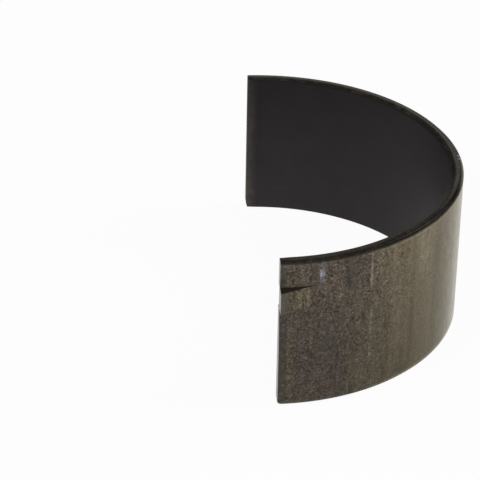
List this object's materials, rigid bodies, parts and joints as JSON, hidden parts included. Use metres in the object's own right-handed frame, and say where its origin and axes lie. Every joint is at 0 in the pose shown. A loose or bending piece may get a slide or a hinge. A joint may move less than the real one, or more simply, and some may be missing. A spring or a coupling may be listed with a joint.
{
  "type": "engine bearing shell",
  "caption": "Half-round plain bearing shell with chamfered rims and a punched locating tang, which lines a connecting rod's big end around the crankpin.",
  "frame": {"origin": "on the shaft axis, at mid width", "axes": "+Z along the shaft, +X to the crown, -Y to the end with the tang; the parting faces lie on X = 0"},
  "size_m": [0.0215, 0.0443, 0.017],
  "materials": {
    "tarnished_steel": "mottled brown-grey back, smooth charcoal running face, dark rims"
  },
  "bodies": {
    "root": {"bearing_shell": "tarnished_steel"}
  },
  "joints": []
}
